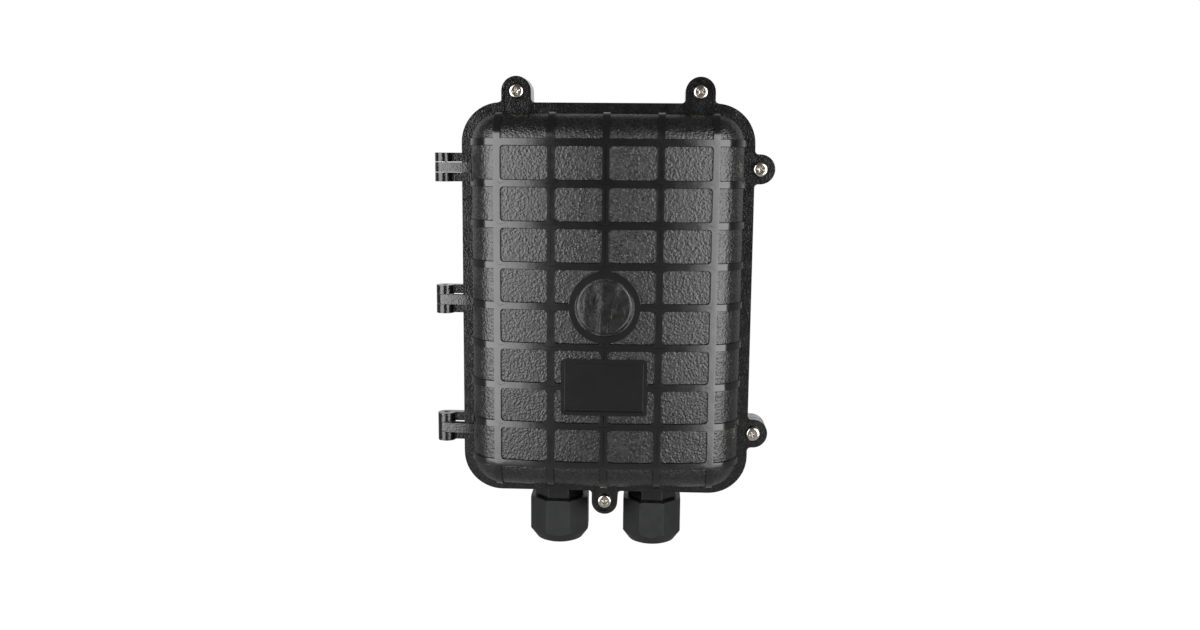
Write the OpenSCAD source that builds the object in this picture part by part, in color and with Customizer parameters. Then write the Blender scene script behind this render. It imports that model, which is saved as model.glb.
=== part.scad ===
// Clamshell fibre splice closure: a ribbed, crowned cover hinged on a deep base, with two
// cable glands below and a swing-out splice tray inside.
// Upright, in millimetres: +X right, +Z up, front towards -Y. The origin is the middle of the
// rear mounting plane.

/* [Flange] */
// Width of the sealing flange
flange_w = 162; // [150:1:190]
// Height of the sealing flange
flange_h = 220; // [206:1:250]
// Corner radius of the flange
flange_corner_r = 22; // [18:0.5:28]
// Thickness of each shell's flange
flange_t = 5; // [4:0.5:7]
// How far the flange stands out past the shells' walls
flange_land = 6.2; // [5:0.2:8]
// Gap between the two flanges, closed by the gasket
seam_gap = 0.5; // [0.4:0.1:0.8]

/* [Cover] */
// Height of the cover's middle above the front of its flange
dome_rise = 24; // [20:1:34]
// Radius of the cover's crown across its width
crown_r = 395; // [300:5:600]
// Wall of the cover
cover_wall = 2.6; // [2:0.1:3.5]
// Height of the ribs above the panels
rib_h = 1; // [0.6:0.1:1.6]
// Width of a rib
rib_w = 3.6; // [2.6:0.1:5]
// Distance between the upright ribs
rib_pitch_x = 29.5; // [26:0.5:34]
// Distance between the level ribs
rib_pitch_z = 22.1; // [20:0.1:25]
// Number of upright ribs
upright_ribs = 5; // [3:2:7]
// Number of level ribs
level_ribs = 9; // [7:2:11]
// Corner radius of a panel between ribs
panel_corner_r = 1.8; // [1:0.1:3]
// How far the cover's flange reaches in past its wall
cover_lip = 1; // [0.6:0.1:2]

/* [Badge and plaque] */
// Outer diameter of the round badge
badge_d = 39.5; // [30:0.5:44]
// Diameter of the step inside the badge's ring
badge_step_d = 31.8; // [24:0.2:34]
// Diameter of the badge's sunken middle
badge_middle_d = 27; // [18:0.5:30]
// Height of the badge's step above the panels
badge_step_h = 0.5; // [0.3:0.1:0.6]
// Width of the plaque's frame
plaque_w = 47.3; // [36:0.1:52]
// Height of the plaque's frame
plaque_h = 31.3; // [26:0.1:36]
// Width of the bar around the plaque
plaque_bar = 2.4; // [1.6:0.1:3.4]
// How many level ribs below the middle the plaque sits
plaque_row = 2; // [1:1:3]

/* [Base] */
// Depth of the base from the mounting plane to its front face
base_depth = 36; // [36:1:50]
// Wall of the base
base_wall = 2.8; // [2.4:0.1:4]
// Height of the rear mounting pads
pad_h = 2; // [1:0.5:3]
// Radius of the base's rear edge
rear_edge_r = 6; // [4:0.5:8]
// Distance between the mounting holes across
mount_hole_x = 90; // [70:1:110]
// Distance between the mounting holes up the base
mount_hole_z = 150; // [120:1:170]
// Diameter of a mounting hole
mount_hole_d = 4.2; // [3.2:0.1:5]
// Depth of a mounting hole
mount_hole_depth = 10; // [8:0.5:14]
// Diameter of a mounting pad
pad_d = 15; // [12:0.5:20]

/* [Gasket] */
// Width of the gasket
gasket_w = 3; // [2:0.2:4]
// Depth of the gasket's groove
groove_depth = 1.6; // [1.2:0.1:2.4]
// Distance from the flange's edge to the middle of the gasket
gasket_inset = 4.4; // [3.6:0.1:6]
// How far the gasket stands out of its groove
gasket_proud = 0.2; // [0.1:0.1:0.3]
// Gap on each side of the gasket in its groove
gasket_gap = 0.1; // [0.05:0.05:0.3]

/* [Ears and cover screws] */
// Radius of the top and side ears
ear_r = 8.2; // [7:0.1:10]
// Radius of the bottom ear
bottom_ear_r = 7.4; // [6.6:0.1:9]
// How far the top and bottom screws lie past the flange
end_ear_reach = 6; // [5:0.5:9]
// How far the side screws lie past the flange
side_ear_reach = 3; // [2.5:0.5:6]
// Distance of the top ears from the middle
top_ear_x = 50.5; // [40:0.5:56]
// Distance of the side ears above and below the middle
side_ear_z = 74.5; // [60:0.5:80]
// Fillet where an ear meets the flange
ear_fillet = 2; // [1:0.5:4]
// Depth of the base's ears
ear_depth = 10; // [9:0.5:14]
// Width of the raised lip around the end ears
lip_w = 1.4; // [1:0.1:2]
// Height of that lip
lip_h = 1.4; // [0.8:0.1:2]
// Diameter of the cover screw's shank
screw_d = 3.4; // [2.8:0.1:3.8]
// Diameter of the cover screw's head
screw_head_d = 8.4; // [7:0.1:9]
// Height of the cover screw's head
screw_head_h = 2.9; // [2:0.1:3.4]
// How far a cover screw reaches into the base
screw_grip = 5; // [3:0.5:5]
// How far a captive screw backs out of the base
screw_travel = 6; // [6:0.5:8]
// Depth of the round seat under a screw's head
head_seat = 0.8; // [0.4:0.1:1.4]
// Gap around a head in its seat
seat_gap = 0.5; // [0.3:0.1:1]
// Radial gap between a cover screw and the cover
screw_hole_gap = 0.5; // [0.4:0.1:0.8]
// Outer diameter of a threaded insert
insert_d = 6.4; // [6:0.1:8]
// Radial gap between a cover screw and its insert
insert_gap = 0.4; // [0.35:0.05:0.6]
// How deep an insert sits below the base's face
insert_sink = 0.4; // [0.2:0.1:1]
// Length of an insert
insert_len = 7; // [6:0.5:8]

/* [Hinges] */
// Distance from the flange to the hinge pin
pin_reach = 11; // [10:0.5:16]
// Diameter of a hinge pin
pin_d = 3; // [2.5:0.5:4]
// Radius of a hinge knuckle
knuckle_r = 5; // [4:0.1:5]
// Height of one hinge
hinge_h = 16; // [14:0.5:24]
// Height of the cover's tongue in a hinge
tongue_h = 5.4; // [4.4:0.2:8]
// Distance between hinges
hinge_pitch = 74.3; // [60:0.1:78]
// How far the tongue stands out of the cover's flange
tongue_proud = 1; // [0.5:0.1:2]
// Radial gap of a pin in the cover's tongue
pin_run = 0.08; // [0.05:0.01:0.1]
// Radial gap of a pin in the base's knuckles
pin_fit = 0.02; // [0.01:0.01:0.05]
// Gap between a knuckle and the tongue
knuckle_gap = 0.3; // [0.2:0.05:0.6]

/* [Glands] */
// Distance of each gland from the middle
gland_x = 27.3; // [26.5:0.1:36]
// Distance of the glands' axes behind the base's front face
gland_back = 15; // [15:0.5:17]
// Width across the flats of a gland nut
nut_flats = 33.6; // [32:0.2:36]
// Height of a gland nut
nut_h = 26.5; // [24:0.5:32]
// Height of the nut's tapered end
nut_taper_h = 7; // [5:0.5:9]
// Diameter of the nut's flat end
nut_end_d = 23; // [20:0.5:27]
// Width across the flats of a gland body's collar
collar_flats = 28; // [27:0.2:31]
// Height of that collar
collar_h = 6; // [4:0.5:9]
// Thickness of the sealing ring above the collar
face_seal_t = 1.5; // [1:0.1:2.5]
// Outer diameter of the body's lower thread
spigot_d = 26.8; // [24:0.2:27.4]
// Length of the body's lower thread
spigot_len = 16; // [12:0.5:18]
// Diameter of the body's upper thread
inlet_d = 25; // [20:0.5:25]
// Radial gap of the body in the base
inlet_gap = 0.2; // [0.1:0.05:0.3]
// Radial gap between a nut and the body's thread
thread_gap = 0.3; // [0.3:0.05:0.5]
// Diameter of the largest cable that a seal takes
cable_d = 14; // [10:0.5:15]
// Diameter of the way through a gland body
body_way_d = 18; // [16:0.5:19]
// Wall of the clamping claw
claw_wall = 1.7; // [1.2:0.1:2.2]
// Length of the claw
claw_len = 13; // [10:0.5:15]
// Number of fingers on a claw
claw_fingers = 10; // [6:1:14]
// Clearance of a seal and a claw in what holds them
nest_gap = 0.15; // [0.1:0.05:0.3]
// Width across the flats of a lock nut
lock_nut_flats = 29.5; // [28:0.5:30]
// Thickness of a lock nut
lock_nut_t = 5; // [4:0.5:7]

/* [Splice tray] */
// Width left in the base beside the tray, for its pivot and the cables
tray_room = 37.6; // [34:0.2:50]
// Height of the tray
tray_h = 148; // [130:1:156]
// How far the tray's middle lies above the base's middle
tray_lift = 9; // [6:0.5:14]
// Distance of the tray's floor from the mounting plane
tray_level = 32.5; // [31:0.5:35]
// Height of the tray's walls
tray_t = 8; // [6:0.5:9]
// Wall of the tray
tray_wall = 1.6; // [1.2:0.1:2.4]
// Corner radius of the tray
tray_corner_r = 14; // [8:1:20]
// Thickness of the clear lid
lid_t = 1.2; // [0.8:0.1:2]
// Radius of the fibre hubs
hub_r = 19; // [16:0.5:22]
// Distance of each hub from the tray's middle
hub_offset = 48; // [44:0.5:52]
// Number of splice grooves in each holder
grooves = 6; // [4:1:8]
// Distance between grooves
groove_pitch = 4.2; // [3.6:0.1:4.6]
// Length of a splice holder
holder_len = 34; // [26:1:40]
// Height of a splice holder
holder_h = 5; // [4:0.5:5.5]
// Distance of the tray's pivot from its left wall
tray_pin_reach = 6; // [5:0.5:8]
// Diameter of the tray's pivot pin
tray_pin_d = 2.5; // [2:0.5:3]
// Radius of the tray's knuckles
tray_knuckle_r = 3; // [2.6:0.1:3.6]
// Height of each tray knuckle
tray_knuckle_h = 6; // [5:0.5:10]
// Distance of the tray's knuckles from the tray's middle
tray_knuckle_at = 43; // [34:1:48]

/* [Cable fixings] */
// Distance of each strength member clamp from the middle
clamp_x = 54; // [50:0.5:56]
// Distance of the clamps above the base's bottom wall
clamp_rise = 20; // [16:0.5:26]
// Length of a clamp plate
clamp_l = 16; // [12:0.5:20]
// Width of a clamp plate
clamp_w = 9; // [8:0.5:12]
// Thickness of a clamp plate
clamp_t = 1.5; // [1:0.1:2.5]
// Height of the clamps' bosses above the base's floor
clamp_boss_h = 12; // [8:0.5:18]
// Diameter of the small screws inside the base
small_screw_d = 3; // [2.5:0.1:3.5]
// Diameter of their heads
small_head_d = 5.8; // [5:0.1:6.5]
// Height of their heads
small_head_h = 2; // [1.6:0.1:2.6]
// Length of their shanks
small_screw_len = 7; // [6:0.5:9]
// Radius of the slack guides on the base's floor
guide_r = 30; // [24:1:34]
// Height of the slack guides
guide_h = 14; // [8:1:18]
// Wall of a slack guide
guide_wall = 1.8; // [1.4:0.1:2.6]

/* [Hidden] */

SIDES = [-1, 1];
$fn = 64;

// Both shells share one footprint inside the flange.
shell_w = flange_w - 2 * flange_land;
shell_h = flange_h - 2 * flange_land;
shell_corner_r = flange_corner_r - flange_land;
cover_back = base_depth + seam_gap;
cover_front = cover_back + flange_t;
crown_level = cover_front + dome_rise;
base_floor = pad_h + base_wall;
inner_bottom = base_wall - shell_h / 2;

// The crown's arc runs from shoulder to shoulder, and the rounded edges are tangent to it.
crown_axis = crown_level - crown_r;
crown_swing = asin((shell_w / 2 - shell_corner_r) / (crown_r - shell_corner_r));
crown_steps = 10;
shoulder_level = crown_axis + (crown_r - shell_corner_r) * cos(crown_swing);
dome_fn = 24;
skin_sink = 1; // how far the dome's foot is set into the flange from behind
plaque_z = -plaque_row * rib_pitch_z;

// Ears: a point on the flange's edge, the turn outwards, the screw's reach and the radius.
EARS = [
    [[-top_ear_x, flange_h / 2], 0, end_ear_reach, ear_r],
    [[top_ear_x, flange_h / 2], 0, end_ear_reach, ear_r],
    [[flange_w / 2, side_ear_z], -90, side_ear_reach, ear_r],
    [[flange_w / 2, -side_ear_z], -90, side_ear_reach, ear_r],
    [[0, -flange_h / 2], 180, end_ear_reach, bottom_ear_r]
];
END_EARS = [0, 1, 4];
ear_root = 3; // how far an ear runs back into the flange
screw_seat = cover_front - head_seat;
screw_tip = base_depth - screw_grip;

HINGES = [hinge_pitch, 0, -hinge_pitch];
pin_x = -flange_w / 2 - pin_reach;
pin_level = base_depth + seam_gap / 2;
pin_inset = 0.5; // a pin's ends lie this far inside its knuckles
knuckle_start = tongue_h / 2 + knuckle_gap;

gland_face = -flange_h / 2; // the entries are faced level with the flange's lower edge
collar_top = gland_face - face_seal_t;
collar_bottom = collar_top - collar_h;
nut_clearance = 0.5;
nut_top = collar_bottom - nut_clearance;
nut_bottom = nut_top - nut_h;
spigot_bottom = collar_bottom - spigot_len;
nut_bore_r = spigot_d / 2 + thread_gap;
nut_mouth_r = cable_d / 2 + 2;
nut_wall = 2;
seal_wall = 2.9;
claw_inner_r = cable_d / 2 + seal_wall + nest_gap;
claw_r = claw_inner_r + claw_wall;
claw_taper = 1;
claw_bottom = spigot_bottom - 4;
seal_inset = 1.5;
lock_nut_bottom = inner_bottom;
inlet_top = inner_bottom + lock_nut_t + 3;
entry_boss_w = collar_flats + 6;
gland_depth = base_depth - gland_back;

tray_w = shell_w - tray_room;
tray_left = 1 - tray_w / 2;
tray_pin_x = tray_left - tray_pin_reach;
tray_pin_level = tray_level - 1.5;
tray_floor = tray_level + tray_wall;
tray_top = tray_level + tray_t;
tray_mid_x = tray_left + tray_w / 2;
holder_w = (grooves + 0.5) * groove_pitch;
holder_split = 4;
bracket_t = 2;
boss_rise = 4; // the tray bracket stands on bosses this high above the floor
bracket_reach = tray_knuckle_at + 3 * tray_knuckle_h / 2 + knuckle_gap;
bracket_w = 15;
bracket_x = tray_pin_x - 1;
bracket_screw_at = tray_knuckle_at - tray_knuckle_h * 2.5;
rest_gap = 0.3; // the tray lies this far above its posts
post_r = 3;
post_x = tray_left + tray_w - 9;
post_z = 50;
clamp_z = inner_bottom + clamp_rise;
clamp_boss_top = base_floor + clamp_boss_h;
boss_r = 4.5;
small_hole_r = small_screw_d / 2 + 0.05;
guide_x = tray_mid_x;
guide_gap = 14; // how far each slack guide lies from the tray's middle
over = 1; // how far a cut runs past the surface that it opens

function turned(a, v) = [v[0] * cos(a) - v[1] * sin(a), v[0] * sin(a) + v[1] * cos(a)];
function screw_at(i) = EARS[i][0] + turned(EARS[i][1], [0, EARS[i][2]]);

// Stands a plan up: its x and y become X and Z, and its z is the distance from the wall.
module upright() {
    rotate([90, 0, 0]) children();
}

// A slice of the closure between two distances from the wall.
module slab(from, to) {
    translate([0, 0, from]) linear_extrude(to - from) children();
}

module rounded(w, h, r) {
    square([w - 2 * r, h], center = true);
    square([w, h - 2 * r], center = true);
    for (sx = SIDES, sy = SIDES)
        translate([sx * (w / 2 - r), sy * (h / 2 - r)]) circle(r);
}

// The flange's outline moved in by a distance.
module flange_plan(inset) {
    rounded(flange_w - 2 * inset, flange_h - 2 * inset, flange_corner_r - inset);
}

// An ear's outline, drawn upwards from the flange's edge.
module ear_plan(reach, r) {
    translate([0, reach]) circle(r);
    translate([-r, -ear_root]) square([2 * r, reach + ear_root]);
    for (s = SIDES)
        translate([s * (r + ear_fillet / 2), (ear_fillet - ear_root) / 2])
            difference() {
                square([ear_fillet, ear_fillet + ear_root], center = true);
                translate([s * ear_fillet / 2, (ear_fillet + ear_root) / 2])
                    circle(ear_fillet);
            }
}

module at_ear(i) {
    translate(EARS[i][0]) rotate(EARS[i][1]) children();
}

module ears_plan() {
    for (i = [0 : len(EARS) - 1]) at_ear(i) ear_plan(EARS[i][2], EARS[i][3]);
}

// ---- shells ----

// The crowned solid, its surface moved out by a distance, from a level upwards.
module dome(out, foot) {
    r = shell_corner_r + out;
    arm = crown_r - shell_corner_r;
    reach_z = shell_h / 2 - shell_corner_r;
    hull() {
        for (i = [-crown_steps / 2 : crown_steps / 2], s = SIDES) {
            turn = 2 * i / crown_steps * crown_swing;
            translate([arm * sin(turn), s * reach_z, crown_axis + arm * cos(turn)])
                rotate_extrude($fn = dome_fn)
                    intersection() {
                        circle(r, $fn = dome_fn);
                        square(r);
                    }
        }
        for (sx = SIDES, s = SIDES)
            translate([sx * arm * sin(crown_swing), s * reach_z, foot])
                cylinder(r = r, h = shoulder_level - foot, $fn = dome_fn);
    }
}

// The rib pattern seen from the front: everything but the panels, with badge and plaque.
module rib_plan() {
    cell = [rib_pitch_x - rib_w, rib_pitch_z - rib_w];
    difference() {
        square([shell_w + 4 * rib_h, shell_h + 4 * rib_h], center = true);
        for (i = [-upright_ribs : 2 : upright_ribs], j = [-level_ribs : 2 : level_ribs])
            translate([i * rib_pitch_x / 2, j * rib_pitch_z / 2])
                rounded(cell[0], cell[1], panel_corner_r, $fn = 24);
        circle(d = badge_step_d);
        translate([0, plaque_z])
            square([plaque_w, plaque_h] - 2 * [plaque_bar, plaque_bar], center = true);
    }
    difference() {
        circle(d = badge_d);
        circle(d = badge_step_d);
    }
    translate([0, plaque_z]) difference() {
        square([plaque_w, plaque_h], center = true);
        square([plaque_w, plaque_h] - 2 * [plaque_bar, plaque_bar], center = true);
    }
}

// The moulded skin of the cover: sunken panels between raised ribs, over a hollow of even wall.
module ribbed_skin() {
    foot = cover_back + skin_sink;
    difference() {
        union() {
            dome(0, foot);
            intersection() {
                dome(rib_h, foot);
                slab(foot, crown_level + 2 * rib_h) rib_plan();
            }
            intersection() {
                dome(badge_step_h, foot);
                slab(crown_level - rib_w, crown_level + rib_h) difference() {
                    circle(d = badge_step_d + 2 * badge_step_h);
                    circle(d = badge_middle_d);
                }
            }
        }
        dome(-cover_wall, foot - over);
    }
}

// The raised lip of an end ear: a U that opens towards the dome.
module ear_lip(i) {
    run = flange_land - rib_h;
    module u(r, extra) {
        translate([0, EARS[i][2]]) circle(r);
        translate([-r, -run - extra]) square([2 * r, EARS[i][2] + run + extra]);
    }
    at_ear(i) difference() {
        u(EARS[i][3], 0);
        u(EARS[i][3] - lip_w, over);
    }
}

module base_shell() {
    color("#1c1c1e") difference() {
        union() {
            upright() base_moulding();
            for (z = HINGES, s = SIDES) base_knuckle(z, s);
            for (s = SIDES) gland_entry(s);
        }
        for (z = HINGES) translate([pin_x, -pin_level, z - hinge_h / 2 - over])
            cylinder(d = pin_d + 2 * pin_fit, h = hinge_h + 2 * over);
        for (s = SIDES) translate([s * gland_x, -gland_depth, gland_face - over])
            cylinder(d = inlet_d + 2 * inlet_gap, h = inner_bottom - gland_face + 2 * over);
    }
}

module base_moulding() {
    difference() {
        union() {
            base_body();
            slab(base_depth - flange_t, base_depth) flange_plan(0);
            slab(base_depth - ear_depth, base_depth) ears_plan();
            for (sx = SIDES, sy = SIDES)
                translate([sx * mount_hole_x / 2, sy * mount_hole_z / 2])
                    cylinder(d = pad_d, h = base_floor);
        }
        difference() {
            slab(base_floor, base_depth + over)
                rounded(shell_w - 2 * base_wall, shell_h - 2 * base_wall,
                        shell_corner_r - base_wall);
            base_fittings();
        }
        slab(base_depth - groove_depth, base_depth + over) difference() {
            flange_plan(gasket_inset - gasket_w / 2);
            flange_plan(gasket_inset + gasket_w / 2);
        }
        for (i = [0 : len(EARS) - 1])
            translate([screw_at(i)[0], screw_at(i)[1],
                       base_depth - insert_sink - insert_len])
                cylinder(d = insert_d, h = insert_len + insert_sink + over);
        for (sx = SIDES, sy = SIDES)
            translate([sx * mount_hole_x / 2, sy * mount_hole_z / 2, -over])
                cylinder(d = mount_hole_d, h = mount_hole_depth + over);
        for (s = SIDES) translate([s * clamp_x, clamp_z, clamp_boss_top - small_screw_len])
            cylinder(r = small_hole_r, h = small_screw_len + over);
        for (s = SIDES)
            translate([bracket_x, tray_lift + s * bracket_screw_at,
                       base_floor + bracket_t + boss_rise - small_screw_len])
                cylinder(r = small_hole_r, h = small_screw_len + over);
    }
}

// The box behind the flange, with a rounded rear edge.
module base_body() {
    hull() for (sx = SIDES, sy = SIDES)
        translate([sx * (shell_w / 2 - shell_corner_r), sy * (shell_h / 2 - shell_corner_r),
                   pad_h]) {
            translate([0, 0, rear_edge_r]) {
                rotate_extrude($fn = 32)
                    translate([shell_corner_r - rear_edge_r, 0])
                        circle(rear_edge_r, $fn = 32);
                cylinder(r = shell_corner_r, h = base_depth - pad_h - rear_edge_r - 1,
                         $fn = 32);
            }
        }
}

// What stands on the base's floor.
module base_fittings() {
    for (sx = SIDES, sy = SIDES)
        translate([sx * mount_hole_x / 2, sy * mount_hole_z / 2])
            cylinder(d = pad_d, h = mount_hole_depth + base_wall);
    for (s = SIDES) {
        translate([s * clamp_x, clamp_z]) cylinder(r = boss_r, h = clamp_boss_top);
        translate([bracket_x, tray_lift + s * bracket_screw_at])
            cylinder(r = boss_r, h = base_floor + boss_rise);
        translate([post_x, tray_lift + s * post_z])
            cylinder(r = post_r, h = tray_level - rest_gap);
        translate([guide_x, tray_lift + s * guide_gap])
            slab(pad_h + over, base_floor + guide_h) intersection() {
                difference() {
                    circle(guide_r);
                    circle(guide_r - guide_wall);
                }
                translate([-guide_r, s > 0 ? 0 : -guide_r])
                    square([2 * guide_r, guide_r]);
            }
    }
}

// One of a hinge's two outer knuckles, with the arm that carries it.
module base_knuckle(z, s) {
    h = hinge_h / 2 - knuckle_start;
    from = s > 0 ? z + knuckle_start : z - hinge_h / 2;
    translate([pin_x, -pin_level, from]) cylinder(r = knuckle_r, h = h);
    translate([pin_x, -base_depth, from])
        cube([pin_reach + ear_root, min(flange_t, knuckle_r - seam_gap / 2), h]);
}

// The thickened foot of the base around a cable entry.
module gland_entry(s) {
    translate([s * gland_x - entry_boss_w / 2, -base_depth + flange_t / 2, gland_face])
        cube([entry_boss_w, base_depth - flange_t / 2 - base_floor + 1,
              inner_bottom - gland_face - base_wall / 2]);
}

module cover_shell() {
    color("#1e1e20") difference() {
        union() {
            upright() {
                ribbed_skin();
                slab(cover_back, cover_front) difference() {
                    union() {
                        flange_plan(0);
                        ears_plan();
                    }
                    flange_plan(flange_land + cover_wall + cover_lip);
                }
                for (i = END_EARS) slab(cover_front - over, cover_front + lip_h) ear_lip(i);
            }
            for (z = HINGES) cover_tongue(z);
        }
        upright() for (i = [0 : len(EARS) - 1])
            translate([screw_at(i)[0], screw_at(i)[1]]) {
                translate([0, 0, cover_back - over])
                    cylinder(d = screw_d + 2 * screw_hole_gap, h = flange_t + 2 * over);
                translate([0, 0, screw_seat])
                    cylinder(d = screw_head_d + 2 * seat_gap, h = screw_head_h);
            }
        for (z = HINGES) translate([pin_x, -pin_level, z - tongue_h])
            cylinder(d = pin_d + 2 * pin_run, h = 2 * tongue_h);
    }
}

// A hinge's middle tongue: a strap from the dome over the flange to the pin.
module cover_tongue(z) {
    strap = cover_front + tongue_proud;
    translate([0, 0, z - tongue_h / 2]) {
        translate([pin_x, -pin_level]) cylinder(r = knuckle_r, h = tongue_h);
        linear_extrude(tongue_h) polygon([
            [pin_x, -cover_back],
            [-shell_w / 2 - rib_h / 2, -cover_back - over],
            [-shell_w / 2 - rib_h / 2, -strap],
            [-flange_w / 2 - 1, -strap],
            [pin_x, -pin_level - knuckle_r]
        ]);
    }
}

module cover_gasket() {
    color("#3a3a3a") upright()
        slab(base_depth - groove_depth, base_depth + gasket_proud) difference() {
            flange_plan(gasket_inset - gasket_w / 2 + gasket_gap);
            flange_plan(gasket_inset + gasket_w / 2 - gasket_gap);
        }
}

module hinge_pin(i) {
    color("#c9c9c6") translate([pin_x, -pin_level, HINGES[i] - hinge_h / 2 + pin_inset])
        cylinder(d = pin_d, h = hinge_h - 2 * pin_inset);
}

// ---- cover screws ----

// A pan head with a cross recess, its underside at z = 0.
module pan_head(d, h) {
    slot = d / 7;
    difference() {
        rotate_extrude() intersection() {
            translate([0, h - d * 0.62]) circle(d * 0.62);
            square([d / 2, h]);
        }
        for (a = [0, 90]) rotate(a)
            translate([-d * 0.29, -slot / 2, h * 0.4]) cube([d * 0.58, slot, h]);
    }
}

module cover_screw(i) {
    color("#d8d6d2") upright() translate([screw_at(i)[0], screw_at(i)[1]]) {
        translate([0, 0, screw_seat]) pan_head(screw_head_d, screw_head_h);
        translate([0, 0, screw_tip]) cylinder(d = screw_d, h = screw_seat - screw_tip + 1);
    }
}

module threaded_inserts() {
    mouth = 0.8;
    bore_r = screw_d / 2 + insert_gap;
    color("#c8a24a") upright() for (i = [0 : len(EARS) - 1])
        translate([screw_at(i)[0], screw_at(i)[1], base_depth - insert_sink])
            difference() {
                translate([0, 0, -insert_len]) cylinder(d = insert_d, h = insert_len);
                translate([0, 0, -insert_len - over])
                    cylinder(r = bore_r, h = insert_len + 2 * over);
                translate([0, 0, -mouth])
                    cylinder(r1 = bore_r, r2 = bore_r + mouth / 2, h = mouth);
            }
}

// ---- glands ----

module at_gland(s) {
    translate([s * gland_x, -gland_depth, 0]) children();
}

// A regular prism between two heights, by its width across flats, with a flat to the front.
module nut_prism(flats, sides, from, to) {
    translate([0, 0, from]) rotate(90 + 180 / sides)
        cylinder(r = flats / 2 / cos(180 / sides), h = to - from, $fn = sides);
}

module gland_body(s) {
    claw_r_here = claw_r + nest_gap;
    color("#2b2b2b") at_gland(s) difference() {
        union() {
            nut_prism(collar_flats, 8, collar_bottom, collar_top);
            translate([0, 0, spigot_bottom])
                cylinder(d = spigot_d, h = collar_bottom - spigot_bottom + over);
            translate([0, 0, collar_top - over])
                cylinder(d = inlet_d, h = inlet_top - collar_top + over);
        }
        translate([0, 0, spigot_bottom - over])
            cylinder(d = body_way_d, h = inlet_top - spigot_bottom + 2 * over);
        translate([0, 0, spigot_bottom - over])
            cylinder(r = claw_r_here, h = claw_bottom + claw_len - spigot_bottom + over + nest_gap);
    }
}

module gland_nut(s) {
    rim = 0.8;
    end_r = nut_end_d / 2 + 2;
    corner_r = nut_flats / 2 / cos(180 / 8);
    spread = (corner_r - end_r) / (nut_taper_h - rim); // how fast the taper widens
    color("#2a2a2a") at_gland(s) difference() {
        hull() intersection() {
            nut_prism(nut_flats, 8, nut_bottom, nut_top);
            rotate_extrude() polygon([
                [0, nut_bottom - over],
                [end_r - 2 - 2 * over, nut_bottom - over],
                [end_r, nut_bottom + rim],
                [corner_r + over * spread, nut_bottom + nut_taper_h + over],
                [corner_r + over * spread, nut_top - rim - over * spread],
                [corner_r - rim, nut_top],
                [0, nut_top + over]
            ]);
        }
        rotate_extrude() polygon([
            [0, nut_bottom - over],
            [nut_mouth_r, nut_bottom - over],
            [nut_mouth_r, nut_bottom + nut_wall],
            [nut_bore_r, spigot_bottom - 1],
            [nut_bore_r, nut_top + over],
            [0, nut_top + over]
        ]);
    }
}

// A split collar: fingers squeeze the seal when the nut's cone closes them.
module gland_claw(s) {
    slot_w = 1.2;
    color("#cfcfc8") at_gland(s) difference() {
        rotate_extrude() polygon([
            [claw_inner_r, claw_bottom],
            [claw_r - claw_taper, claw_bottom],
            [claw_r, spigot_bottom - 1],
            [claw_r, claw_bottom + claw_len],
            [claw_inner_r, claw_bottom + claw_len]
        ]);
        for (i = [0 : claw_fingers - 1]) rotate(360 * i / claw_fingers)
            translate([0, -slot_w / 2, claw_bottom - over])
                cube([claw_r + over, slot_w, claw_len * 0.6 + over]);
    }
}

module gland_seal(s) {
    color("#141414") at_gland(s)
        translate([0, 0, claw_bottom + seal_inset]) difference() {
            cylinder(d = cable_d + 2 * seal_wall, h = claw_len - 2 * seal_inset);
            translate([0, 0, -over]) cylinder(d = cable_d, h = claw_len);
        }
}

module gland_lock_nut(s) {
    color("#2c2c2c") at_gland(s) difference() {
        nut_prism(lock_nut_flats, 6, lock_nut_bottom, lock_nut_bottom + lock_nut_t);
        translate([0, 0, lock_nut_bottom - over])
            cylinder(d = inlet_d + 2 * pin_fit, h = lock_nut_t + 2 * over);
    }
}

module gland_face_seal(s) {
    color("#161616") at_gland(s) translate([0, 0, collar_top]) difference() {
        cylinder(d = collar_flats, h = face_seal_t);
        translate([0, 0, -over])
            cylinder(d = inlet_d + 2 * nest_gap, h = face_seal_t + 2 * over);
    }
}

// ---- splice tray ----

module tray_plan(inset) {
    translate([tray_mid_x, tray_lift])
        rounded(tray_w - 2 * inset, tray_h - 2 * inset, tray_corner_r - inset);
}

module splice_tray() {
    guide_t = 1.4;
    color("#e6e6e2") difference() {
        union() {
            upright() {
                difference() {
                    slab(tray_level, tray_top) tray_plan(0);
                    difference() {
                        slab(tray_floor, tray_top + over) tray_plan(tray_wall);
                        for (s = SIDES)
                            translate([tray_mid_x, tray_lift + s * hub_offset])
                                slab(tray_level, tray_top - 1) difference() {
                                    circle(hub_r);
                                    circle(hub_r - guide_t);
                                }
                    }
                    for (s = SIDES)
                        translate([tray_mid_x + s * tray_w / 4 - 3, tray_lift - tray_h / 2 - over,
                                   tray_floor])
                            cube([6, tray_wall + 2 * over, tray_t]);
                }
            }
            for (s = SIDES) tray_lug(s);
        }
        translate([tray_pin_x, -tray_pin_level, tray_lift - bracket_reach])
            cylinder(d = tray_pin_d + 2 * pin_run, h = 2 * bracket_reach);
    }
}

module tray_lug(s) {
    translate([0, 0, tray_lift + s * tray_knuckle_at - tray_knuckle_h / 2]) {
        translate([tray_pin_x, -tray_pin_level])
            cylinder(r = tray_knuckle_r, h = tray_knuckle_h);
        translate([tray_pin_x, -tray_floor])
            cube([tray_pin_reach + tray_wall / 2, tray_floor - tray_pin_level + 1,
                  tray_knuckle_h]);
    }
}

module tray_lid() {
    color("#dfe8ea", 0.4) upright()
        slab(tray_top, tray_top + lid_t) tray_plan(tray_wall / 4);
}

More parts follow.
